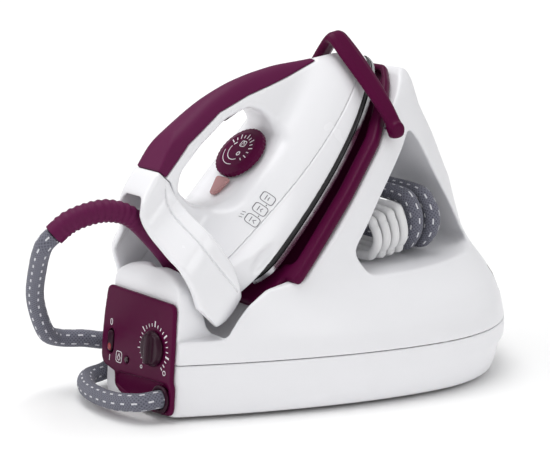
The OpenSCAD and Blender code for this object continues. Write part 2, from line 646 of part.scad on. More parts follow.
// Heel cover: side view crossed with the view from behind
heel_back = [[3, 112.6], [-10, 110.5], [-20, 107], [-27, 102.5], [-31, 95], [-36, 83], [-41, 73], [-46, 60],
    [-51, 47], [-57, 37], [-61, 27], [-60.5, 19], [-56, 12], [-50, 8.6], [-44, 8]];
heel_width = [[0.8, 50], [6, 59], [14, 60], [34, 58], [58, 53], [67, 49], [77, 37], [87, 24], [96, 18], [112.6, 17]];
module heel_front_view(t) {
    offset(r = 4) offset(delta = -4) for (s = [-1, 1]) polygon(concat(
        [[-s, 112.6 - 1.4 * t], [-s, 0.8 - 20 * t]],
        [for (p = heel_width) [s * (p[1] - t), p[0] > 1 ? min(p[0], 112.6 - 1.4 * t) : p[0] - 20 * t]]
    ));
}
module heel_cover() color(white) parked() difference() {
    intersection() {
        across(80) polygon(concat([[-25.6, 8]], heel_seam, heel_back));
        translate([0, 60, 0]) rotate([90, 0, 0]) linear_extrude(160) heel_front_view(0);
    }
    intersection() {
        across(80) polygon([[-32, -8], [-29, 8], [-19, 22], [-16.4, 30], [-16, 38], [-14.3, 50], [-11.8, 62],
            [-7, 77], [-2.5, 88], [-2, 98], [-7, 106], [-30, 112], [-80, 90], [-80, -8]]);
        union() {
            translate([0, 60, 0]) rotate([90, 0, 0]) linear_extrude(160) heel_front_view(9);
            translate([0, -30, 100]) cube([25, 80, 34], center = true);
        }
    }
    // hollow towards the body
    intersection() {
        across(80) polygon([[-22.5, 6], [-16, 20], [-13, 34], [-11.8, 50], [-9.4, 62], [-4.6, 77], [0, 88], [5, 96],
            [20, 96], [20, 6]]);
        translate([0, 60, 0]) rotate([90, 0, 0]) linear_extrude(160) heel_front_view(5);
    }
    translate([0, boot_u, tube_w]) rotate([-90, 0, 0]) cylinder(r = 4.2, h = 30);
}
module heel_panel() color(pale_grey) parked() translate([0, -6.2, 86]) rotate([-12, 0, 0])
    rotate([90, 0, 0]) linear_extrude(1.2) offset(r = 3) square([10, 16], center = true);

dial_u = 72;
dial_w = 49.6;
module fabric_dial() color(plum) parked() translate([0, dial_u, dial_w]) union() {
    difference() {
        cylinder(r = dial_r, h = 4.6);
        for (i = [0 : 35]) rotate([0, 0, i * 10]) translate([dial_r + 0.3, 0, -1])
            cylinder(r = 0.9, h = 7, $fn = 16);
    }
    translate([0, 0, 4.6]) cylinder(r1 = dial_r - 1.5, r2 = dial_r - 6, h = 1.6);
}
module dial_spindle() color("ivory") parked() translate([0, dial_u, 24.2]) union() {
    cylinder(r = 3, h = dial_w - 24.3);
    translate([0, 0, 3]) cylinder(r = 4, h = 3);
}
module iron_thermostat() color("silver") parked() translate([0, dial_u, 15]) union() {
    cylinder(r = 11, h = 6);
    translate([0, 0, 6]) cylinder(r = 6, h = 3);
}
lamp_u = 39;
module dial_lamp() color([0.85, 0.6, 0.62, 0.8]) parked() translate([0, lamp_u, 40]) union() {
    translate([0, 0, 1]) cube([6, 8, 18], center = true);
    translate([0, 0, 9.4]) linear_extrude(3) offset(r = 2) polygon([[-6, 7], [6, 7], [1.5, -6], [-1.5, -6]]);
}
trigger_u = 100.5;
trigger_w = 82.2;
trigger_slot = 8.4;
module steam_trigger() color(plum_dark) parked() translate([0, trigger_u, trigger_w]) union() {
    rotate([0, 90, 0]) cylinder(r = 1.3, h = 16, center = true);
    across(7.4) polygon([[0, 0.4], [-12.5, 4.2], [-23.5, 7], [-25, 6], [-22.5, 3.2], [-2, -4.2], [0, -1.8]]);
}
module trigger_switch() color("black") parked() translate([0, 67.5, 95.6])
    cube([6, 5, 1.8], center = true);

// The boot stands in a cup inside the heel, and a steam tube runs from the cup into the iron
boot_u = -29.5;
cup_low = 27;
cup_r = 12;
tube_w = 31;
module boot_socket() color(white) parked() translate([0, boot_u, cup_low]) difference() {
    cylinder(r = cup_r, h = 10);
    translate([0, 0, 3.6]) cylinder(r = 10.9, h = 10);
}
module inner_steam_tube() color("lightblue") parked() translate([0, boot_u + cup_r + 0.2, tube_w])
    rotate([-90, 0, 0]) cylinder(r = 3, h = 28);

boot_points = [[0, -134.8, 103.1], [0, -141.1, 109.4], [0, -147.5, 117.2], [0, -155, 125.5],
    [0, -165, 136], [0, -176, 147], [0, -187, 155], [-2, -202, 159], [-6, -216, 157.5],
    [-12, -229, 152], boot_end];
boot_r = [10.2, 10, 8.8, 8.2, 7.8, 7.7, 8, 8.6, 8.6, 8.6, 8.6];
function boot_radius(m) = concat(
    [for (i = [0 : len(boot_r) - 2]) for (j = [0 : m - 1]) boot_r[i] + (boot_r[i + 1] - boot_r[i]) * j / m],
    [boot_r[len(boot_r) - 1]]
);
module hose_boot() color(plum) tube_along(smooth_path(boot_points, 4), boot_radius(4), 16, [1, 0, 0]);

base_tray();
bottom_cover();
rubber_feet();
housing_screws();
base_housing();
control_panel();
steam_knob();
power_switch();
indicator_lens();
hose_grommet();
iron_rest();
rest_pads();
lock_hoop();
hoop_pins();
water_tank();
tank_lid();
tank_valve();
boiler_lower();
boiler_upper();
boiler_element();
boiler_thermostat();
boiler_gasket();
water_pump();
water_tubes();
steam_valve();
steam_pipe();
circuit_board();
steam_hose();
power_cord();
cord_grommet();
cord_plug();
plug_pins();
soleplate();
sole_element();
heat_shield();
chamber_cover();
iron_skirt();
iron_body();
grip_insert();
heel_cover();
heel_panel();
fabric_dial();
dial_spindle();
iron_thermostat();
dial_lamp();
steam_trigger();
trigger_switch();
hose_boot();
boot_socket();
inner_steam_tube();
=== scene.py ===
import json
import math

import bpy
import numpy as np
import openvdb as vdb
from mathutils import Matrix, Vector


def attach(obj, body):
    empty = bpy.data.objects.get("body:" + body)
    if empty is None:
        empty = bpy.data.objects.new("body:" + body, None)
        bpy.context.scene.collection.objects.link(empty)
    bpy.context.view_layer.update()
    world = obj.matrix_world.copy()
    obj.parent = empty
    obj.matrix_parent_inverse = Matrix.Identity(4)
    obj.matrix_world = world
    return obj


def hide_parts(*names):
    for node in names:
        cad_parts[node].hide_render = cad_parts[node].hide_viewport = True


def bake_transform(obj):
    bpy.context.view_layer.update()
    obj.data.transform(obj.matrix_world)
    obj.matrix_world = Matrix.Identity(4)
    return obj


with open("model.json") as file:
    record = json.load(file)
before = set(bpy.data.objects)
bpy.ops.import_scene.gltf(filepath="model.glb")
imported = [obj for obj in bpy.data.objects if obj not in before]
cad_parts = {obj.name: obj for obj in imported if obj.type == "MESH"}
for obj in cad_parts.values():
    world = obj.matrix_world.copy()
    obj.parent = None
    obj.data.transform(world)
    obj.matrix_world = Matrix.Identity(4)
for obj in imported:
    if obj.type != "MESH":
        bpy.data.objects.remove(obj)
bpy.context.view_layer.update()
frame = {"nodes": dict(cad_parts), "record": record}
nodes = frame["nodes"]
MM = 0.001

# ---------- numbers shared with the CAD, in millimetres ----------

BASE_FRONT = 178
BASE_REAR = 161
HALF_W = 125
PARTING = 44
WALL = 2.6
GAP = 0.3
PANEL_TILT = math.radians(6)
PANEL_Y, PANEL_Z = -(BASE_FRONT + 4), 5
SLOPE = math.radians(45)
IRON_Y, IRON_Z = -92, 102

# ---------- studio: metres, degrees and watts ----------

CAMERA_AT = (1.11273, -0.91292, 0.43990)
CAMERA_AZIMUTH, CAMERA_ELEVATION = 52, 12.5
CAMERA_LENS, CAMERA_SENSOR = 117.8, 36
LIGHT_TARGET = (0, -0.02, 0.12)
LIGHTS = (
    ("top", (-0.6, -0.3, 3.4), 2.4, 64),
    ("front", (-1.6, -3.0, 1.9), 1.6, 30),
    ("side", (3.4, -0.4, 1.4), 1.2, 14),
)
AMBIENT, BACKDROP = 0.56, 0.96
FLOOR_SIZE = 24
LIFT_FROM, LIFT_RATE, LIFT_MOST = 0.8, 0.16, 0.4

# ---------- materials ----------


def linear(rgb):
    """sRGB 0-255 to linear."""
    out = []
    for c in rgb:
        c = c / 255
        out.append(c / 12.92 if c <= 0.04045 else ((c + 0.055) / 1.055) ** 2.4)
    return (*out, 1)


class Shader:
    """A small helper for node materials."""

    def __init__(self, name):
        self.mat = bpy.data.materials.new(name)
        self.mat.use_nodes = True
        self.tree = self.mat.node_tree
        self.bsdf = self.tree.nodes["Principled BSDF"]

    def add(self, kind, **values):
        node = self.tree.nodes.new(kind)
        for key, value in values.items():
            if hasattr(node, key):
                setattr(node, key, value)
            else:
                node.inputs[key].default_value = value
        return node

    def link(self, a, b):
        self.tree.links.new(a, b)

    def math(self, op, a, b=None):
        node = self.add("ShaderNodeMath", operation=op)
        for i, v in enumerate((a, b)):
            if v is None:
                continue
            if isinstance(v, (int, float)):
                node.inputs[i].default_value = v
            else:
                self.link(v, node.inputs[i])
        return node.outputs[0]

    def mix(self, fac, a, b):
        node = self.add("ShaderNodeMix", data_type="RGBA")
        for i, v in ((0, fac), (6, a), (7, b)):
            if isinstance(v, (int, float, tuple)):
                node.inputs[i].default_value = v
            else:
                self.link(v, node.inputs[i])
        return node.outputs[2]


def plastic(name, rgb, rough=0.35, grain=0.6, bump=0.02, mottle=0.03, coat=0.0, metal=0.0, spec=0.5,
            stretch=(1, 1, 1), clear=0.0):
    """Moulded or metal finish: fine grain, soft mottling, patchy sheen and a painted highlight that pales the
    sharp edges.
    """
    s = Shader(name)
    place = s.add("ShaderNodeTexCoord").outputs["Object"]
    if stretch != (1, 1, 1):
        mapping = s.add("ShaderNodeMapping")
        mapping.inputs["Scale"].default_value = stretch
        s.link(place, mapping.inputs["Vector"])
        place = mapping.outputs["Vector"]
    fine = s.add("ShaderNodeTexNoise", **{"Scale": 1000 / grain, "Detail": 4.0})
    wide = s.add("ShaderNodeTexNoise", **{"Scale": 28.0, "Detail": 3.0})
    for noise in (fine, wide):
        s.link(place, noise.inputs["Vector"])
    base = linear(rgb)
    dark = tuple(c * (1 - mottle) for c in base[:3]) + (1,)
    light = tuple(min(1, c * (1 + mottle)) for c in base[:3]) + (1,)
    colour = s.mix(wide.outputs["Fac"], dark, light)
    # painted highlight: sharp convex edges (high pointiness) are tinted up to a fifth of the way to a paler
    # colour, standing in for light catching them
    edge = s.add("ShaderNodeNewGeometry").outputs["Pointiness"]
    edge_highlight = s.math("MULTIPLY", s.math("SUBTRACT", edge, 0.56), 1.5)
    clamp = s.add("ShaderNodeClamp", **{"Max": 0.2})
    s.link(edge_highlight, clamp.inputs["Value"])
    highlight_tint = tuple(min(1, c * 1.25 + 0.01) for c in base[:3]) + (1,)
    s.link(s.mix(clamp.outputs[0], colour, highlight_tint), s.bsdf.inputs["Base Color"])
    sheen = s.math("ADD", s.math("MULTIPLY", wide.outputs["Fac"], 0.08), rough - 0.04)
    s.link(sheen, s.bsdf.inputs["Roughness"])
    node = s.add("ShaderNodeBump", **{"Strength": 1.0, "Distance": bump * MM})
    s.link(fine.outputs["Fac"], node.inputs["Height"])
    s.link(node.outputs["Normal"], s.bsdf.inputs["Normal"])
    s.bsdf.inputs["Metallic"].default_value = metal
    s.bsdf.inputs["Specular IOR Level"].default_value = spec
    s.bsdf.inputs["Coat Weight"].default_value = coat
    s.bsdf.inputs["Coat Roughness"].default_value = 0.12
    s.bsdf.inputs["Transmission Weight"].default_value = clear
    return s.mat


def weave(name):
    """Braided sleeve: grey yarns crossing on the bias, with short white tracer stitches in staggered rows."""
    s = Shader(name)
    uv = s.add("ShaderNodeSeparateXYZ")
    s.link(s.add("ShaderNodeTexCoord").outputs["UV"], uv.inputs[0])
    along, around = uv.outputs[0], uv.outputs[1]
    pitch, strands = 2.4, 14

    def wave(sign):
        turn = s.math("ADD", s.math("DIVIDE", along, pitch), s.math("MULTIPLY", around, sign * strands))
        swing = s.math("SINE", s.math("MULTIPLY", turn, 2 * math.pi))
        return s.math("ADD", s.math("MULTIPLY", swing, 0.5), 0.5)

    height = s.math("MAXIMUM", wave(1), wave(-1))
    shade = s.mix(height, linear((70, 71, 84)), linear((116, 117, 131)))
    rows, cell, dash, half_width = 6, 9.0, 0.38, 0.09
    row = s.math("MULTIPLY", around, rows)
    index = s.math("FLOOR", row)
    step = s.math("ADD", s.math("DIVIDE", along, cell), s.math("MULTIPLY", index, 0.5))
    in_cell = s.math("FRACT", step)
    in_row = s.math("FRACT", row)
    off_row = s.math("ABSOLUTE", s.math("SUBTRACT", in_row, 0.5))
    mark = s.math("MULTIPLY", s.math("LESS_THAN", in_cell, dash), s.math("LESS_THAN", off_row, half_width))
    s.link(s.mix(mark, shade, linear((226, 226, 232))), s.bsdf.inputs["Base Color"])
    fuzz = s.add("ShaderNodeTexNoise", **{"Scale": 1500.0, "Detail": 2.0})
    total = s.math("ADD", s.math("ADD", height, s.math("MULTIPLY", mark, 0.7)),
                   s.math("MULTIPLY", fuzz.outputs["Fac"], 0.5))
    node = s.add("ShaderNodeBump", **{"Strength": 1.0, "Distance": 0.45 * MM})
    s.link(total, node.inputs["Height"])
    s.link(node.outputs["Normal"], s.bsdf.inputs["Normal"])
    s.bsdf.inputs["Roughness"].default_value = 0.8
    s.bsdf.inputs["Sheen Weight"].default_value = 0.15
    return s.mat


MAT = {
    "base_white": plastic("base_white", (238, 238, 241), 0.34, 0.5, 0.012, 0.015),
    "iron_white": plastic("iron_white", (240, 240, 243), 0.26, 0.5, 0.008, 0.012, coat=0.25),
    "pale_grey": plastic("pale_grey", (172, 168, 170), 0.5, 0.5, 0.03),
    "plum": plastic("plum", (80, 8, 52), 0.34, 0.45, 0.015, 0.05, spec=0.08),
    "plum_grip": plastic("plum_grip", (92, 22, 66), 0.5, 0.35, 0.04, 0.05, spec=0.14),
    "plum_dark": plastic("plum_dark", (44, 8, 30), 0.3, 0.45, 0.012, 0.04, spec=0.2),
    "black_plastic": plastic("black_plastic", (30, 30, 32), 0.45, 0.5, 0.03),
    "sole_steel": plastic("sole_steel", (205, 205, 208), 0.2, 0.35, 0.006, 0.02, metal=1.0,
                          stretch=(14, 1, 1)),
    "screw_steel": plastic("screw_steel", (190, 190, 194), 0.3, 0.4, 0.01, metal=1.0),
    "boiler_steel": plastic("boiler_steel", (184, 184, 188), 0.32, 0.4, 0.012, metal=1.0,
                            stretch=(1, 12, 1)),
    "cast_aluminium": plastic("cast_aluminium", (180, 181, 184), 0.5, 0.8, 0.06, 0.08, metal=1.0),
    "brass": plastic("brass", (200, 166, 96), 0.3, 0.4, 0.01, metal=1.0),
    "rubber": plastic("rubber", (44, 44, 46), 0.7, 0.4, 0.05),
    "hose_weave": weave("hose_weave"),
    "cord_white": plastic("cord_white", (228, 228, 229), 0.5, 0.5, 0.02, 0.02),
    "natural_plastic": plastic("natural_plastic", (216, 210, 192), 0.45, 0.6, 0.02),
    "tube_silicone": plastic("tube_silicone", (204, 212, 218), 0.3, 0.6, 0.01),
    "board_green": plastic("board_green", (44, 104, 62), 0.4, 0.7, 0.03),
    "lens_red": plastic("lens_red", (170, 34, 40), 0.15, 0.8, 0.004, clear=0.3),
    "lamp_rose": plastic("lamp_rose", (196, 146, 146), 0.2, 0.8, 0.006, clear=0.25),
    "lens_smoke": plastic("lens_smoke", (46, 8, 26), 0.12, 0.8, 0.004, clear=0.2),
    "print_white": plastic("print_white", (232, 228, 232), 0.5, 0.4, 0.01),
    "print_grey": plastic("print_grey", (120, 118, 124), 0.5, 0.4, 0.01),
}

# ---------- fields and meshes ----------


def blur(field, sigma):
    """Gaussian blur over all axes; sigma in samples."""
    if sigma <= 0:
        return field
    reach = max(1, int(round(2.5 * sigma)))
    taps = np.exp(-0.5 * (np.arange(-reach, reach + 1) / sigma) ** 2)
    taps = (taps / taps.sum()).astype(field.dtype)
    for axis in range(field.ndim):
        pad = [(reach, reach) if i == axis else (0, 0) for i in range(field.ndim)]
        wide = np.pad(field, pad, mode="edge")
        out = np.zeros_like(field)
        for k, tap in enumerate(taps):
            cut = [slice(None)] * field.ndim
            cut[axis] = slice(k, k + field.shape[axis])
            out += tap * wide[tuple(cut)]
        field = out
    return field


def smax(a, b, k):
    """Smooth maximum: an inside fillet or rounded edge of about k."""
    if k <= 0:
        return np.maximum(a, b)
    h = np.maximum(k - np.abs(a - b), 0) / k
    return np.maximum(a, b) + h * h * k * 0.25


def smin(a, b, k):
    """Smooth minimum: a join with a fillet of about k."""
    return -smax(-a, -b, k)


def polygon(points, u, v):
    """Signed distance to a closed outline, negative inside; u and v broadcast together."""
    p = np.array(points, np.float32)
    q = np.roll(p, -1, axis=0)
    shape = np.broadcast(u, v).shape
    best = np.full(shape, 1e9, np.float32)
    inside = np.zeros(shape, bool)
    for (ax, ay), (bx, by) in zip(p, q):
        ex, ey = bx - ax, by - ay
        wx, wy = u - ax, v - ay
        t = np.clip((wx * ex + wy * ey) / max(ex * ex + ey * ey, 1e-9), 0, 1)
        best = np.minimum(best, (wx - ex * t) ** 2 + (wy - ey * t) ** 2)
        if ey != 0:
            inside ^= ((ay > v) != (by > v)) & (u < ex * (v - ay) / ey + ax)
    return np.where(inside, -1, 1) * np.sqrt(best)


def curve(pairs, at, soft=4.0):
    """Value of a smoothed table of (key, value) at the given keys."""
    keys, values = np.array(pairs, float).T
    fine = np.arange(keys[0] - 40, keys[-1] + 40, 0.5)
    line = np.interp(fine, keys, values)
    first = (values[1] - values[0]) / (keys[1] - keys[0])
    last = (values[-1] - values[-2]) / (keys[-1] - keys[-2])
    line += np.where(fine < keys[0], (fine - keys[0]) * first, 0)
    line += np.where(fine > keys[-1], (fine - keys[-1]) * last, 0)
    return np.interp(at, fine, blur(line, soft * 2)).astype(np.float32)


class Block:
    """A box of sample points, in mm."""

    def __init__(self, low, high, step):
        self.low, self.step = np.array(low, np.float32), step
        axes = [np.arange(a, b + step, step, dtype=np.float32) for a, b in zip(low, high)]
        self.x = axes[0][:, None, None]
        self.y = axes[1][None, :, None]
        self.z = axes[2][None, None, :]

    def soft(self, field, mm):
        """A field blurred by mm."""
        return blur(field, mm / self.step)


def plan(block, half, mid, end, front, share, taper, a, b):
    """Distance to a stack of plan outlines: blunt in front of mid, rounded behind it up to end."""
    x, y = np.abs(block.x), block.y
    t = np.clip((mid - y) / (mid - front), 0, 1.3)
    side = half * (1 - (1 - share) * t ** taper)
    s = np.clip((y - mid) / (end - mid), 0, None)
    field = np.where(y < mid, x / side, ((x / half) ** a + s ** b) ** (1 / a)) - 1
    slope = np.sqrt(sum(g * g for g in np.gradient(field.astype(np.float32), block.step)))
    return np.clip(field / np.maximum(slope, 1e-4), -40, 40)


def mesh_object(name, points, faces, material):
    """A smooth mesh object from points in mm and an array of faces."""
    mesh = bpy.data.meshes.new(name)
    mesh.vertices.add(len(points))
    mesh.vertices.foreach_set("co", (points * MM).astype(np.float32).ravel())
    loops = np.concatenate([f.ravel() for f in faces]).astype(np.int32)
    sizes = np.concatenate([np.full(len(f), f.shape[1]) for f in faces])
    mesh.loops.add(len(loops))
    mesh.loops.foreach_set("vertex_index", loops)
    mesh.polygons.add(len(sizes))
    mesh.polygons.foreach_set("loop_start", np.concatenate([[0], np.cumsum(sizes)[:-1]]).astype(np.int32))
    mesh.update(calc_edges=True)
    mesh.validate()
    mesh.polygons.foreach_set("use_smooth", np.ones(len(sizes), bool))
    obj = bpy.data.objects.new(name, mesh)
    bpy.context.scene.collection.objects.link(obj)
    mesh.materials.append(MAT[material])
    return obj


def extract(name, field, low, step, material, place=None, thin=0.0):
    """Mesh of a sampled field's zero surface. place maps points in mm to the row frame."""
    far = 3 * step
    field = np.clip(field, -far, far).astype(np.float32)
    for axis in range(3):
        cut = [slice(None)] * 3
        for end in (0, -1):
            cut[axis] = end
            field[tuple(cut)] = far
    grid = vdb.FloatGrid(far)
    grid.copyFromArray(np.ascontiguousarray(field))
    grid.transform = vdb.createLinearTransform(step)
    points, tris, quads = grid.convertToPolygons(isovalue=0.0, adaptivity=thin)
    points = points.astype(np.float64) + low
    faces = [f for f in (tris, quads) if len(f)]
    volume = 0
    for f in faces:
        for k in range(1, f.shape[1] - 1):
            turn = np.cross(points[f[:, k]], points[f[:, k + 1]])
            volume += np.einsum("ij,ij->", points[f[:, 0]], turn)
    if volume < 0:
        faces = [f[:, ::-1] for f in faces]
    if place is not None:
        points = place(points)
    return mesh_object(name, points, faces, material)


def parked(p):
    """Iron lying flat on its sole to the parked iron, in mm."""
    p = np.asarray(p, float)
    c, s = math.cos(SLOPE), math.sin(SLOPE)
    return np.stack([p[..., 0], IRON_Y + c * p[..., 1] - s * p[..., 2],
                     IRON_Z + s * p[..., 1] + c * p[..., 2]], -1)


def on_panel(p):
    """(x, depth into the housing, height up the face) to the row frame, in mm."""
    p = np.asarray(p, float)
    c, s = math.cos(PANEL_TILT), math.sin(PANEL_TILT)
    return np.stack([p[..., 0], PANEL_Y + c * p[..., 1] + s * p[..., 2],
                     PANEL_Z - s * p[..., 1] + c * p[..., 2]], -1)


def node_triangles(node):
    """Points in mm and triangles of a CAD node."""
    mesh = nodes[node].data
    points = np.empty(len(mesh.vertices) * 3, np.float32)
    mesh.vertices.foreach_get("co", points)
    mesh.calc_loop_triangles()
    tris = np.empty(len(mesh.loop_triangles) * 3, np.int32)
    mesh.loop_triangles.foreach_get("vertices", tris)
    return points.reshape(-1, 3) / MM, tris.reshape(-1, 3)


def body_name(node):
    """Body that a CAD node rides on."""
    for body, names in frame["record"]["behaviour"]["bodies"].items():
        if node in names:
            return body
    return "base"


def slot_name(node):
    """Material slot that the record gives a CAD node."""
    for part in frame["record"]["subparts"]:
        if part["node"] == node:
            return part["material_slot"]
    return "base_white"


def stands_for(obj, node):
    """Puts a piece in a CAD node's place: same body, node hidden."""
    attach(obj, body_name(node))
    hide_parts(node)


def extra(obj, body):
    """A small piece that only the visual model has."""
    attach(obj, body)


def soften(node, step, radius, edit=None):
    """A CAD node with rounded edges and no facets, which edit(field, x, y, z) may carve."""
    points, tris = node_triangles(node)
    reach = 4 + int(math.ceil(2.5 * radius / step))
    grid = vdb.FloatGrid.createLevelSetFromPolygons(
        points, triangles=tris.astype(np.uint32),
        transform=vdb.createLinearTransform(step), halfWidth=float(reach))
    lo, hi = grid.evalActiveVoxelBoundingBox()
    size = [b - a + 1 for a, b in zip(lo, hi)]
    field = np.empty(size, np.float32)
    grid.copyToArray(field, ijk=lo)
    field = blur(field, radius / step)
    low = np.array(lo, np.float64) * step
    if edit:
        axes = [np.float32(a + step * np.arange(n)) for a, n in zip(low, size)]
        field = edit(field, axes[0][:, None, None], axes[1][None, :, None], axes[2][None, None, :])
    stands_for(extract(node + ".form", field, low, step, slot_name(node)), node)


# ---------- base: plan tables by height, then outlines seen from the side (y, z) and front (x, z) ----------

HALF = [(0, HALF_W - 9), (4, HALF_W - 5), (14, HALF_W - 1.5), (28, HALF_W), (44, HALF_W - 0.5),
        (60, HALF_W - 5), (75, HALF_W - 14), (88, HALF_W - 26), (98, HALF_W - 36), (110, HALF_W - 44),
        (150, 70), (190, 59), (215, 45), (235, 33), (252, 16)]
MID = [(0, 40), (44, 46), (75, 38), (98, 20), (110, 0), (150, -40), (190, -10), (235, 40), (252, 60)]
END = [(0, BASE_REAR - 13), (20, BASE_REAR - 9), (27, BASE_REAR - 8), (29, BASE_REAR), (60, BASE_REAR),
       (75, BASE_REAR - 3), (82, BASE_REAR - 6), (98, BASE_REAR - 15), (110, BASE_REAR - 19),
       (150, 134), (190, 114), (215, 100), (240, 92), (252, 86)]
SHARE = [(0, 0.38), (44, 0.375), (75, 0.42), (98, 0.53), (110, 0.59), (150, 0.62), (252, 0.8)]
LOW = -100
HOOD_TOP, HOOD_BACK, HOOD_LOW = 112, -140, 62
SIDE = [(-200, LOW), (-200, 99), (-169.5, 99), (-162, 111), (-156, HOOD_TOP), (-151.5, 106), (-148.5, 86),
        (-144, 69), (-137, 61), (-126, 58.5), (-112, 62), (-104, 69), (57.5, 230.5), (68, 242), (75, 246.5),
        (83, 244), (93, 228), (111, 196), (131, 152), (147, 112), (156, 84), (200, 80), (200, LOW)]
TUNNEL = [(60, 203), (-26, 117), (-16, 97), (126, 97), (127, 101)]
CHEEK = [(-147, 20), (-147, 67), (-138, 69), (-120, 86), (-103, 96), (-82, 99.5), (-60, 99.5), (-60, 20)]
ARCH = [(45, LOW), (45, 90), (44, 97), (40, 103), (30, 108), (14, 111.4), (0, HOOD_TOP)]
CHEEK_HALF, CHEEK_LOW = 63, 10
TRAY_LOW, TRAY_FLOOR = 3, 8.4
SWITCH_X, SWITCH_UP = -38, 41
WELL_HALF, WELL_REACH = 5.5, 11
EXIT_X, EXIT_UP, EXIT_R = 36, 12, 9.6
OPENING_DEPTH = 20
TANK_Y, TANK_TOP = 128, 80
BOOT_U, CUP_LOW, CUP_R, CUP_ROOM = -29.5, 27, 12, 0.8


def front_at(z):
    """Place of the leaning front face at a height."""
    return -BASE_FRONT + (np.minimum(z, HOOD_TOP) - PANEL_Z) * math.tan(PANEL_TILT)


def base_plan(block, soft):
    """Distance to the base's outer wall, its flat front edged into its flanks."""
    z = block.z
    field = plan(block, curve(HALF, z, soft), curve(MID, z, soft), curve(END, z, min(soft, 1.0)),
                 front_at(z), curve(SHARE, z, soft), 1.6, 2, 2.2)
    return smax(field, front_at(z) - block.y, 3)


def openings(block):
    """Clear ways behind the panel: the rocker's well and the hose's hole; negative inside."""
    c, s = math.cos(PANEL_TILT), math.sin(PANEL_TILT)
    up = s * (block.y - PANEL_Y) + c * (block.z - PANEL_Z)
    well = np.maximum(np.abs(block.x - SWITCH_X) - WELL_HALF, np.abs(up - SWITCH_UP) - WELL_REACH)
    hole = np.sqrt((block.x - EXIT_X) ** 2 + (up - EXIT_UP) ** 2) - EXIT_R
    return np.maximum(np.minimum(well, hole), block.y - PANEL_Y - OPENING_DEPTH)


def make_housing(step):
    """Upper housing: hood, saddle, cheeks, and the sloping tower with its tunnel."""
    block = Block((-128, -182, PARTING - 4), (128, 165, 252), step)
    y, z = block.y, block.z
    outer = base_plan(block, 3)
    side = block.soft(polygon(SIDE, y, z)[0], 1.1)[None]
    tunnel = block.soft(polygon(TUNNEL, y, z)[0], 4.5)[None]
    cheek = smax(block.soft(polygon(CHEEK, y, z)[0], 1.6)[None], CHEEK_HALF - np.abs(block.x), 4)
    cheek = np.maximum(cheek, CHEEK_LOW - z)
    side = smax(side, -tunnel, 9)
    outer = smax(outer, smin(side, cheek, 4), 2.4)
    outer = smax(outer, -np.maximum(TANK_Y - y, z - TANK_TOP), 1.5)
    arch = polygon(ARCH + [(-a, b) for a, b in ARCH[-2::-1]], block.x[:, :, 0], z[:, 0, :])
    arch = block.soft(arch, 1.2)[:, None, :]
    over_hood = np.maximum(np.maximum(y - HOOD_BACK, -arch), HOOD_LOW - z)
    outer = smax(outer, -over_hood, 2)
    c, s = math.cos(SLOPE), math.sin(SLOPE)
    u = (y - IRON_Y) * c + (z - IRON_Z) * s - BOOT_U
    w = (z - IRON_Z) * c - (y - IRON_Y) * s
    notch = np.maximum(np.sqrt(block.x ** 2 + u * u) - CUP_R - CUP_ROOM, CUP_LOW - w)
    outer = smax(outer, -notch, 2)
    shell = np.maximum(smax(outer, PARTING - z, 0.8), -(outer + WALL))
    shell = np.maximum(shell, -openings(block))
    stands_for(extract("base_housing.form", shell, block.low, step, "base_white"), "base_housing")


def make_tray(step):
    """Lower tray of the base, up to the parting line."""
    block = Block((-128, -186, 0), (128, 165, PARTING + 4), step)
    z = block.z
    outer = base_plan(block, 1.5)
    low = smax(outer, TRAY_LOW - z, 4)
    inside = np.maximum(outer + WALL, TRAY_FLOOR - z)
    shell = np.maximum(smax(low, z - PARTING + GAP, 0.8), -inside)
    shell = np.maximum(shell, -openings(block))
    stands_for(extract("base_tray.form", shell, block.low, step, "base_white"), "base_tray")


# ---------- iron, drawn lying on its sole: u runs to the nose, w up from the sole ----------

SOLE_W, SOLE_TIP = 117, 211
IRON_HALF = [(0, SOLE_W / 2), (9, SOLE_W / 2 - 0.6), (15, SOLE_W / 2 - 2), (24, 52.5), (31, 48.5), (40, 41),
             (46, 34), (50, 26), (56, 20.5), (66, 18), (95, 17.5), (108, 16.5), (119, 13.5)]
IRON_NOSE = [(0, SOLE_TIP), (9, SOLE_TIP - 2), (15, SOLE_TIP - 5), (24, 200), (35, 190), (48, 174), (60, 160),
             (75, 143), (89, 123), (100, 104), (111, 77), (117, 45), (121, 20)]
IRON_MID = [(0, 30), (24, 35), (40, 45), (52, 60), (66, 80), (89, 40), (121, 0)]
IRON_TIP = [(0, 1.35), (48, 1.35), (75, 1.1), (121, 0.9)]
IRON_SHARE = [(0, 0.7), (16, 0.75), (30, 0.93), (121, 0.93)]
IRON_REAR = -34
OPENING = [(9, 68), (16, 57), (26, 50.5), (36, 47.6), (66, 47), (96, 47), (102, 56), (103, 68), (98, 79),
           (76, 90), (46, 95), (20, 95), (8, 88)]
GRIP_LINE = [(8.4, 104.2), (40, 105), (77, 98), (104, 85.5), (140, 64.5), (171, 47.5)]
HEEL_SEAM = [(-24, 14), (-13.9, 36), (-10.5, 50), (-8, 62), (-3.5, 76.6), (1.1, 86.4), (4.3, 92.4), (8, 99),
             (8, 112.6)]
HEEL_BACK = [(3, 112.6), (-10, 110.5), (-20, 107), (-27, 102.5), (-31, 95), (-36, 83), (-41, 73), (-46, 60),
             (-51, 47), (-57, 37), (-61, 27), (-60.5, 19), (-56, 11), (-49, 6.6),
             (-41, 5), (-33, 5.8)]
HEEL_CAVITY = [(-32, -8), (-29, 8), (-19, 22), (-16.4, 30), (-16, 38), (-14.3, 50), (-11.8, 62), (-7, 77),
               (-2.5, 88), (-2, 98), (-7, 106), (-30, 112), (-80, 90), (-80, -8)]
GROOVE = [(-27, 18), (-24.5, 40.5), (-20.4, 62.3), (-15.1, 76.9), (-11.1, 85.6), (-6.7, 92.4), (1.9, 100.5),
          (10, 105.5)]
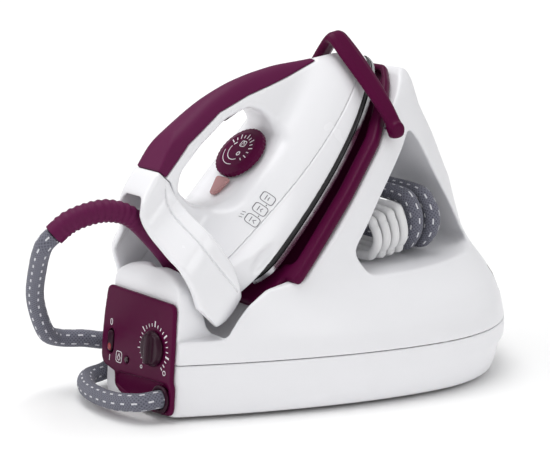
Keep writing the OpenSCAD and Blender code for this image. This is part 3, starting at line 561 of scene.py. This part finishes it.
HEEL_HALF = [(0.8, 49), (8, 53), (12, 56), (18, 58.6), (26, 59.2), (34, 58), (58, 53), (67, 49), (77, 37),
             (87, 24), (96, 18), (112.6, 17)]
FLANGE_LOW, FLANGE_ROOM = 34, 50.5
GROOVE_LOW, GROOVE_HALF = 18, 0.55
TRIGGER_SLOT = [(73, 86), (73, 93), (88, 88), (102, 83.6), (103.4, 80), (103.4, 73), (98, 76)]
SLOT_HALF, SLOT_ROOM = 8.9, 0.7


def seam_w(u):
    """Height of the long seam between skirt and body."""
    return 31 - 0.085 * (u - 25)


def make_iron(step):
    """Skirt, body, grip and heel, cut from one hull along their seams."""
    block = Block((-62, -58, -2), (62, 214, 125), step)
    x, u, w = np.abs(block.x), block.y, block.z
    hull = plan(block, curve(IRON_HALF, w, 2.5), curve(IRON_MID, w), curve(IRON_NOSE, w, 3),
                np.full_like(w, IRON_REAR), curve(IRON_SHARE, w), 3, 2 / curve(IRON_TIP, w), 2 / 0.95)
    hull = np.maximum(hull, IRON_REAR - u)

    outline = [(-23.6, 9), (220, 9), (220, seam_w(220)), (-13.9, seam_w(-13.9)), (-23.4, 14)]
    skirt = polygon(outline, u, w)[0][None]
    skirt = smax(hull, skirt, 1.0)
    scoop = np.sqrt(((x - 64) / 12) ** 2 + ((u - 2) / 25) ** 2 + ((w - 16.5) / 8.5) ** 2) - 1
    skirt = smax(skirt, -scoop * 9, 1.2)
    stands_for(extract("iron_skirt.form", skirt, block.low, step, "iron_white", parked), "iron_skirt")

    outline = [(-13.6, seam_w(-13.6) + GAP), (-10, 50), (-7.4, 62), (-3, 76.6), (1.6, 86.4), (4.8, 92.4),
               (8.4, 98.8)] + GRIP_LINE + [(173, 49), (192, 34), (205, 20), (214, seam_w(214) + GAP)]
    side = polygon(outline, u, w)[0][None]
    opening = block.soft(polygon(OPENING, u, w)[0], 3.2)[None]
    slot = np.maximum(polygon(TRIGGER_SLOT, u, w)[0][None] - SLOT_ROOM, x - SLOT_HALF)
    body = smax(smax(hull, side, 0.9), -opening, 7)
    body = smax(body, -slot, 0.8)
    stands_for(extract("iron_body.form", body, block.low, step, "iron_white", parked), "iron_body")

    outline = [(a, b + GAP) for a, b in GRIP_LINE] + [(172, 60), (120, 110), (45, 119), (26, 116.5),
                                                      (8.4, 112.6)]
    grip = smax(hull, polygon(outline, u, w)[0][None], 1.6)
    stands_for(extract("grip_insert.form", grip, block.low, step, "plum_grip", parked), "grip_insert")

    outline = polygon([(-25.6, 8)] + HEEL_SEAM + HEEL_BACK, u, w)[0]
    outline = block.soft(outline, 1.2)[None]
    half = curve(HEEL_HALF, w, 2.5)
    width = (x - half) / np.sqrt(1 + np.gradient(half, step, axis=2) ** 2)
    heel = smax(outline, width, 4)
    line = np.array(GROOVE)
    groove = np.abs(u - np.interp(w, line[:, 1], line[:, 0]).astype(np.float32))
    cut = smax(heel, GROOVE_HALF - np.maximum(groove, -width - 1.0), 0.5)
    heel = np.where(w > GROOVE_LOW, cut, heel)
    wall = np.interp(w, (40, 95), (8, 4.5)).astype(np.float32)
    inner = np.where(w < FLANGE_LOW, np.minimum(width + wall, x - FLANGE_ROOM), width + wall)
    cavity = smax(block.soft(polygon(HEEL_CAVITY, u, w)[0], 1.5)[None], inner, 6)
    heel = smax(heel, -cavity, 2)
    stands_for(extract("heel_cover.form", heel, block.low, step, "iron_white", parked), "heel_cover")


# ---------- tubes ----------

HOSE_DEPTH, HOSE_FREE = 14, 0.93
CORD_START = (-44, -4, 97.6)
BOOT_START = (0, -134.8, 103.1)
RIB_FROM, RIB_DEPTH, RIB_PITCH = 0.42, 0.4, 5.0


def tube_path(node, sides, start):
    """Centre line of a CAD tube in mm: rings found one after another from the end nearest start."""
    points, tris = node_triangles(node)
    keys, index = np.unique(np.round(points, 2), axis=0, return_inverse=True)
    tris = index.reshape(-1)[tris]
    links = [set() for _ in keys]
    for a, b, c in tris:
        links[a] |= {b, c}
        links[b] |= {a, c}
        links[c] |= {a, b}
    order = np.argsort(((keys - start) ** 2).sum(1))
    ring = set(order[:sides].tolist())
    seen = set(ring)
    path = [keys[list(ring)].mean(0)]
    radii = [np.linalg.norm(keys[list(ring)] - path[0], axis=1).mean()]
    while True:
        ring = {k for i in ring for k in links[i]} - seen
        if len(ring) < sides:
            break
        seen |= ring
        path.append(keys[list(ring)].mean(0))
        radii.append(np.linalg.norm(keys[list(ring)] - path[-1], axis=1).mean())
    return np.array(path), np.array(radii)


def refine(values, m):
    """Catmull-Rom points between the given ones, m a span."""
    v = np.concatenate([values[:1], values, values[-1:]])
    out = []
    for i in range(1, len(v) - 2):
        a, b, c, d = v[i - 1], v[i], v[i + 1], v[i + 2]
        for t in np.arange(m) / m:
            out.append(0.5 * (2 * b + (c - a) * t + (2 * a - 5 * b + 4 * c - d) * t * t
                              + (3 * b - a - 3 * c + d) * t ** 3))
    return np.array(out + [values[-1]])


def tube(name, path, radii, sides, material):
    """Closed round tube with UVs: u is the length in mm, v goes once round."""
    tangent = np.gradient(path, axis=0)
    tangent /= np.linalg.norm(tangent, axis=1)[:, None]
    side = np.cross(tangent[0], [0.3, 0.2, 1.0])
    length = np.concatenate([[0], np.cumsum(np.linalg.norm(np.diff(path, axis=0), axis=1))])
    angle = 2 * np.pi * np.arange(sides) / sides
    rings = []
    for p, t, r in zip(path, tangent, radii):
        side = side - t * side.dot(t)
        side /= np.linalg.norm(side)
        up = np.cross(t, side)
        rings.append(p + r * (np.cos(angle)[:, None] * side + np.sin(angle)[:, None] * up))
    points = np.concatenate(rings + [path[:1], path[-1:]])
    n, m = len(path), sides
    i = np.arange(n - 1)[:, None] * m
    j = np.arange(m)[None, :]
    k = (j + 1) % m
    walls = np.stack([i + j, i + k, i + m + k, i + m + j], -1).reshape(-1, 4)
    j, k = j[0], k[0]
    caps = np.concatenate([np.stack([k, j, np.full(m, n * m)], -1),
                           np.stack([(n - 1) * m + j, (n - 1) * m + k, np.full(m, n * m + 1)], -1)])
    obj = mesh_object(name, points, [walls, caps], material)
    layer = obj.data.uv_layers.new(name="UVMap")
    u = np.repeat(length[:, None], m, 1)
    va, vb = np.broadcast_to(j / m, (n - 1, m)), np.broadcast_to((j + 1) / m, (n - 1, m))
    ua, ub = u[:-1], u[1:]
    quad = np.stack([ua, va, ua, vb, ub, vb, ub, va], -1).reshape(-1, 2)
    flat = np.concatenate([quad, np.zeros((len(caps) * 3, 2))]).astype(np.float32)
    layer.data.foreach_set("uv", flat.ravel())
    return obj


def make_tubes():
    """Hose, cord and boot."""
    start = on_panel((EXIT_X, HOSE_DEPTH, EXIT_UP))
    path, radii = tube_path("steam_hose", 10, start)
    path, radii = refine(path, 5), refine(radii, 5)
    hose = tube("steam_hose.form", path, np.full(len(path), radii.max()), 36, "hose_weave")
    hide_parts("steam_hose")
    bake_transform(hose)

    path, radii = tube_path("power_cord", 8, np.array(CORD_START))
    path, radii = refine(path, 5), refine(radii, 5)
    cord = tube("power_cord.form", path, np.full(len(path), radii.max()), 24, "cord_white")
    stands_for(cord, "power_cord")

    path, radii = tube_path("hose_boot", 16, np.array(BOOT_START))
    path, radii = refine(path, 6), refine(radii, 6)
    length = np.concatenate([[0], np.cumsum(np.linalg.norm(np.diff(path, axis=0), axis=1))])
    onset = np.clip((length / length[-1] - RIB_FROM) / 0.08, 0, 1)
    onset *= np.clip((length[-1] - 4 - length) / 4, 0, 1)
    rib = RIB_DEPTH * np.cos(2 * np.pi * length / RIB_PITCH) * onset
    boot = tube("hose_boot.form", path, radii + rib, 40, "plum_grip")
    stands_for(boot, "hose_boot")


# ---------- control panel, hoop and prints ----------

KNOB_X, KNOB_UP, KNOB_R = 21, 48, 14
TICKS, TICK_STEP = 11, 12.5
DIAL_U, DIAL_W, DIAL_FACE = 72, 49.6, 6.2
SIGNS_X, SIGNS_U, SIGNS_W = 62, 25.6, 36.5
SIGN_PITCH = 10.6
PRINT_ROOT = 0.15
FOOT_RECESS = [(-26, 9), (-27, 17), (-22, 19.5), (40, 24.5), (43.5, 22), (44, 6), (41, 3), (12, 1), (-8, 4)]
RECESS_DEPTH = 1.4


def carve_panel(field, x, y, z):
    """Sets the panel's foot back behind a crease."""
    c, s = math.cos(PANEL_TILT), math.sin(PANEL_TILT)
    depth = c * (y - PANEL_Y) - s * (z - PANEL_Z)
    up = s * (y - PANEL_Y) + c * (z - PANEL_Z)
    foot = np.maximum(polygon(FOOT_RECESS, x, up), depth - RECESS_DEPTH)
    return smax(field, -foot, 1.2)


HOOP_Y, HOOP_Z, HOOP_LEAN = 30, 205.5, math.radians(10)
HOOP_H, HOOP_HALF, HOOP_T, HOOP_BOW = 72.5, 61, 6.5, 1.25
HOOP_FOOT, EYE_R, EYE_HALF = 6.5, 5.6, 3.8
HOOP_DEPTH = [(-9, 5), (0, 6), (14, 7), (34, 9), (58, 10.5), (72, 9), (80, 8)]


def on_hoop(p):
    """Hoop's own frame (x, depth, height over its pins) to the row frame, in mm."""
    c, s = math.cos(HOOP_LEAN), math.sin(HOOP_LEAN)
    return np.stack([p[..., 0], HOOP_Y + c * p[..., 1] - s * p[..., 2],
                     HOOP_Z + s * p[..., 1] + c * p[..., 2]], -1)


def make_hoop(step):
    """Arched band with a soft ridge, and an eye at each foot."""
    block = Block((-70, -15, -12), (70, 15, 82), step)
    x, depth, h = np.abs(block.x), block.y, block.z
    rise = np.linspace(0, 1, 17)
    leg = [(HOOP_HALF * (1 - t ** HOOP_BOW), HOOP_H * t) for t in rise]
    outline = [(HOOP_HALF, -30)] + leg + [(-a, b) for a, b in leg[-2::-1]] + [(-HOOP_HALF, -30)]
    band = polygon(outline, block.x, h)
    band = np.abs(block.soft(band[:, 0, :], 3.5)[:, None, :]) - HOOP_T / 2
    wide = np.abs(depth) - curve(HOOP_DEPTH, h, 5)
    ridge = (np.abs(depth) - 4) * 0.35
    band = smax(smax(band + np.maximum(ridge, 0), wide, 2), -h - HOOP_FOOT, 2)
    eye = smax(np.sqrt(depth ** 2 + h * h) - EYE_R, np.abs(x - HOOP_HALF - 0.9) - EYE_HALF, 2)
    hoop = smin(band, eye, 4)
    stands_for(extract("lock_hoop.form", hoop, block.low, step, "plum", on_hoop), "lock_hoop")


def stroke(path, width, closed=False):
    """Quads of a flat line of even width along a 2-D path."""
    p = np.array(path, float)
    keep = np.linalg.norm(p - np.roll(p, 1, axis=0), axis=1) > 1e-4
    keep[0] |= not closed
    p = p[keep]
    after = np.roll(p, -1, axis=0) - p
    before = p - np.roll(p, 1, axis=0)
    if not closed:
        after[-1], before[0] = before[-1], after[0]
    after /= np.linalg.norm(after, axis=1)[:, None]
    before /= np.linalg.norm(before, axis=1)[:, None]
    way = after + before
    way /= np.linalg.norm(way, axis=1)[:, None]
    reach = width / 2 / np.maximum((way * after).sum(1), 0.4)
    side = np.stack([-way[:, 1], way[:, 0]], 1) * reach[:, None]
    quads = []
    for k in range(len(p) if closed else len(p) - 1):
        m = (k + 1) % len(p)
        quads.append([p[k] - side[k], p[m] - side[m], p[m] + side[m], p[k] + side[k]])
    return quads


def arc(x, y, r, a, b, n=24):
    """Points of an arc; angles in degrees, 0 up, clockwise."""
    t = np.radians(np.linspace(a, b, n))
    return [(x + r * math.sin(k), y + r * math.cos(k)) for k in t]


def rounded(x, y, w, h, r):
    """Closed outline of a rounded rectangle."""
    out = []
    for sx, sy, a in ((1, 1, 0), (1, -1, 90), (-1, -1, 180), (-1, 1, 270)):
        out += arc(x + sx * (w / 2 - r), y + sy * (h / 2 - r), r, a, a + 90, 5)
    return out


def prints(name, quads, place, body, material, thick=0.16):
    """Thin raised prints: each quad becomes a slab standing thick mm proud of its face."""
    quads = np.array([q[::-1] for q in quads], float)
    low = np.concatenate([quads, np.full(quads.shape[:2] + (1,), -PRINT_ROOT)], 2)
    high = low + (0, 0, thick + PRINT_ROOT)
    points = np.concatenate([low, high], 1).reshape(-1, 3)
    cell = np.array([[3, 2, 1, 0], [4, 5, 6, 7], [0, 1, 5, 4], [1, 2, 6, 5], [2, 3, 7, 6], [3, 0, 4, 7]])
    faces = (np.arange(len(quads))[:, None, None] * 8 + cell).reshape(-1, 4)
    obj = mesh_object(name, place(points), [faces], material)
    obj.data.polygons.foreach_set("use_smooth", np.zeros(len(faces), bool))
    extra(obj, body)


def on_face(p):
    """(x, up, proud) on the control panel's face."""
    return on_panel(np.stack([p[..., 0], -p[..., 2], p[..., 1]], -1))


def panel_prints():
    """Ticks that grow round the knob, 0 and 1 at the rocker, and a plain pictogram."""
    quads = []
    r = KNOB_R + 2.6
    for k in range(-TICKS, TICKS + 1):
        major = k % 4 == 0
        share = (k + TICKS) / (2 * TICKS)
        reach = 4.6 if major else 2.6
        t = math.radians(k * TICK_STEP)
        tick = [(KNOB_X + q * math.sin(t), KNOB_UP + q * math.cos(t)) for q in (r, r + reach)]
        quads += stroke(tick, (0.5 + 1.1 * share) if major else 0.5 + 0.3 * share)
    quads += stroke(rounded(SWITCH_X, SWITCH_UP + 15.2, 2.4, 4.6, 1.2), 0.6, True)
    quads += stroke([(SWITCH_X + 0.4, SWITCH_UP - 11), (SWITCH_X + 0.4, SWITCH_UP - 15.6)], 0.7)
    quads += stroke(rounded(-24.7, 30.9, 7.6, 8.6, 1.8), 0.6, True)
    drop = [(-24.7, 33.4), (-26.5, 30.4), (-26, 28.8), (-24.7, 28.2), (-23.4, 28.8), (-22.9, 30.4)]
    quads += stroke(drop, 0.6, True)
    quads += stroke(arc(KNOB_X - 14.5, KNOB_UP - 17.5, 1.2, 0, 330, 12), 0.5, True)
    quads += stroke(arc(KNOB_X + 16, KNOB_UP - 15.6, 1.7, 0, 330, 12), 0.6, True)
    prints("panel_prints", quads, on_face, "base", "print_white")


def dial_prints():
    """Ticks, two arcs and small generic marks on the fabric dial."""
    quads = []
    for k in range(12):
        a = math.radians(-60 + 17 * k)
        r0, r1 = 11.4, 15.6 - (k % 2) * 1.4
        quads += stroke([(q * math.sin(a), q * math.cos(a)) for q in (r0, r1)], 0.8)
    quads += stroke(arc(0, 0, 9.6, 150, 285), 0.6)
    quads += stroke(arc(0, 0, 14.2, 165, 262), 0.5)
    quads += stroke(rounded(1.5, 6.2, 6, 5, 1.4), 0.7, True)
    quads += stroke([(-0.2, 5), (1.5, 8), (3.2, 5)], 0.6)
    quads += stroke([(-8.5, 4), (-6.2, 6.4)], 1.0)
    quads += stroke(arc(3.4, -3.2, 1.6, 0, 330, 10), 0.9, True)

    def place(p):
        return parked(p + (0, DIAL_U, DIAL_W + DIAL_FACE))

    prints("dial_prints", quads, place, "dial", "print_white", 0.12)


def side_prints():
    """Three care signs on the body's flank, laid on its surface."""
    body = bpy.data.objects["iron_body.form"]
    quads = []
    for k in range(3):
        c = SIGN_PITCH * k
        quads += stroke(rounded(c, 0, 7.6, 8.6, 2), 0.55, True)
        quads += stroke([(c - 2.2, 1.4), (c + 2.2, 1.4)], 0.5)
        quads += stroke([(c - 1.6, -1.8 + 0.6 * k), (c, -0.2), (c + 1.6, -1.8 + 0.6 * k)], 0.5)
        if k < 2:
            quads += stroke([(c + 4.6, -1.5), (c + 5.9, -1.5)], 0.6)
    for k in range(3):
        quads += stroke([(-2.4 + 2.4 * k, 5.6), (-3.2 + 2.4 * k, 7.4)], 0.5)

    pieces = []
    for a, b, c, d in np.array(quads, float):
        n = max(1, int(np.linalg.norm(b - a) / 0.8))
        for k in range(n):
            s, t = k / n, (k + 1) / n
            pieces.append([a + (b - a) * s, a + (b - a) * t, d + (c - d) * t, d + (c - d) * s])
    flat = np.array(pieces).reshape(-1, 2)
    points = parked(np.stack([np.full(len(flat), SIGNS_X), SIGNS_U + flat[:, 0], SIGNS_W + flat[:, 1]], -1))
    faces = np.arange(len(points)).reshape(-1, 4)
    obj = mesh_object("side_prints", points, [faces], "print_grey")
    wrap = obj.modifiers.new("wrap", "SHRINKWRAP")
    wrap.target = body
    wrap.wrap_method = "PROJECT"
    wrap.use_project_x = True
    wrap.use_negative_direction = True
    wrap.use_positive_direction = False
    wrap.offset = 0.2 * MM
    depsgraph = bpy.context.evaluated_depsgraph_get()
    mesh = bpy.data.meshes.new_from_object(obj.evaluated_get(depsgraph))
    obj.modifiers.clear()
    obj.data = mesh
    extra(obj, "iron")


def switch_lamp():
    """Red lens in the rocker's lower end."""
    block = Block((SWITCH_X - 5, -3, SWITCH_UP - 10), (SWITCH_X + 5, 4, SWITCH_UP + 1), 0.25)
    x, d, up = block.x - SWITCH_X, block.y, block.z - SWITCH_UP
    lens = smax(np.sqrt(x * x + ((up + 4.6) * 0.8) ** 2) - 2.4, np.abs(d) - 1.1, 0.8)
    extra(extract("switch_lamp", lens, block.low, 0.25, "lens_red", on_panel), "switch")


def switch_well():
    """Dark cup behind the rocker's slot."""
    block = Block((SWITCH_X - 7, -1, SWITCH_UP - 13), (SWITCH_X + 7, 12, SWITCH_UP + 13), 0.4)
    x, d, up = block.x - SWITCH_X, block.y, block.z - SWITCH_UP
    bore = np.sqrt(x * x + np.maximum(np.abs(up) - 5.7, 0) ** 2) - 4.1
    cup = np.maximum(bore - 1.1, np.abs(d - 6.8) - 2.6)
    cup = np.maximum(cup, -np.maximum(bore, d - 8.4))
    extra(extract("switch_cup", cup, block.low, 0.4, "black_plastic", on_panel), "base")


# ---------- finishes of the CAD nodes ----------


def finish_nodes():
    """Gives every CAD node its slot's material; the unlit indicator lens is smoky."""
    for name, obj in nodes.items():
        finish = "lens_smoke" if name == "indicator_lens" else slot_name(name)
        for slot in obj.material_slots:
            slot.link = "OBJECT"
            slot.material = MAT[finish]


# ---------- stage, light and camera ----------


def make_stage():
    """Pale floor, even backdrop, three soft lights and the photo's camera."""
    bpy.ops.mesh.primitive_plane_add(size=FLOOR_SIZE, location=(0, 0, 0))
    floor = bpy.context.object
    floor.name = "floor"
    s = Shader("floor_pale")
    s.bsdf.inputs["Base Color"].default_value = linear((252, 252, 252))
    s.bsdf.inputs["Roughness"].default_value = 0.8
    s.bsdf.inputs["Specular IOR Level"].default_value = 0.2
    far = s.add("ShaderNodeVectorMath", operation="LENGTH")
    s.link(s.add("ShaderNodeTexCoord").outputs["Object"], far.inputs[0])
    lift = s.add("ShaderNodeClamp", **{"Max": LIFT_MOST})
    rise = s.math("MULTIPLY", s.math("SUBTRACT", far.outputs["Value"], LIFT_FROM), LIFT_RATE)
    s.link(rise, lift.inputs["Value"])
    seen = s.add("ShaderNodeLightPath").outputs["Is Camera Ray"]
    s.link(s.math("MULTIPLY", lift.outputs[0], seen), s.bsdf.inputs["Emission Strength"])
    s.bsdf.inputs["Emission Color"].default_value = (1, 1, 1, 1)
    floor.data.materials.append(s.mat)

    world = bpy.data.worlds.new("studio")
    bpy.context.scene.world = world
    world.use_nodes = True
    sky = world.node_tree.nodes["Background"]
    seen = world.node_tree.nodes.new("ShaderNodeLightPath")
    power = world.node_tree.nodes.new("ShaderNodeMapRange")
    power.inputs["To Min"].default_value, power.inputs["To Max"].default_value = AMBIENT, BACKDROP
    world.node_tree.links.new(seen.outputs["Is Camera Ray"], power.inputs["Value"])
    world.node_tree.links.new(power.outputs["Result"], sky.inputs["Strength"])
    sky.inputs["Color"].default_value = (1, 1, 1, 1)

    for name, place, size, power in LIGHTS:
        light = bpy.data.lights.new(name, "AREA")
        light.size = size
        light.energy = power
        lamp = bpy.data.objects.new(name, light)
        lamp.location = place
        lamp.rotation_euler = (Vector(LIGHT_TARGET) - Vector(place)).to_track_quat("-Z", "Y").to_euler()
        bpy.context.scene.collection.objects.link(lamp)

    camera = bpy.data.cameras.new("camera")
    camera.lens = CAMERA_LENS
    camera.sensor_width = CAMERA_SENSOR
    eye = bpy.data.objects.new("camera", camera)
    a, e = math.radians(CAMERA_AZIMUTH), math.radians(CAMERA_ELEVATION)
    right = Vector((math.cos(a), math.sin(a), 0))
    up = Vector((-math.sin(a) * math.sin(e), math.cos(a) * math.sin(e), math.cos(e)))
    back = Vector((math.sin(a) * math.cos(e), -math.cos(a) * math.cos(e), math.sin(e)))
    turn = Matrix((right, up, back)).transposed()
    eye.matrix_world = Matrix.Translation(CAMERA_AT) @ turn.to_4x4()
    bpy.context.scene.collection.objects.link(eye)
    bpy.context.scene.camera = eye
    bpy.context.scene.view_settings.view_transform = "Standard"


# CAD nodes shown with rounded edges: node, sample step and radius in mm
SOFTENED = (
    ("iron_rest", 1.0, 1.4), ("steam_knob", 0.6, 0.7), ("power_switch", 0.5, 0.6), ("fabric_dial", 0.5, 0.4),
    ("dial_lamp", 0.5, 0.6), ("heel_panel", 0.5, 0.5), ("boot_socket", 0.6, 0.6), ("heat_shield", 0.6, 0.5),
    ("water_tank", 0.9, 1.0), ("tank_lid", 0.7, 0.5), ("cord_plug", 0.7, 0.8), ("rest_pads", 0.8, 1.0),
    ("hose_grommet", 0.6, 0.5), ("steam_trigger", 0.5, 0.6),
)

finish_nodes()
make_housing(1.15)
make_tray(1.4)
make_iron(0.8)
make_tubes()
make_hoop(0.8)
soften("control_panel", 0.7, 0.8, carve_panel)
for part, sample, radius in SOFTENED:
    soften(part, sample, radius)
panel_prints()
dial_prints()
side_prints()
switch_lamp()
switch_well()
make_stage()
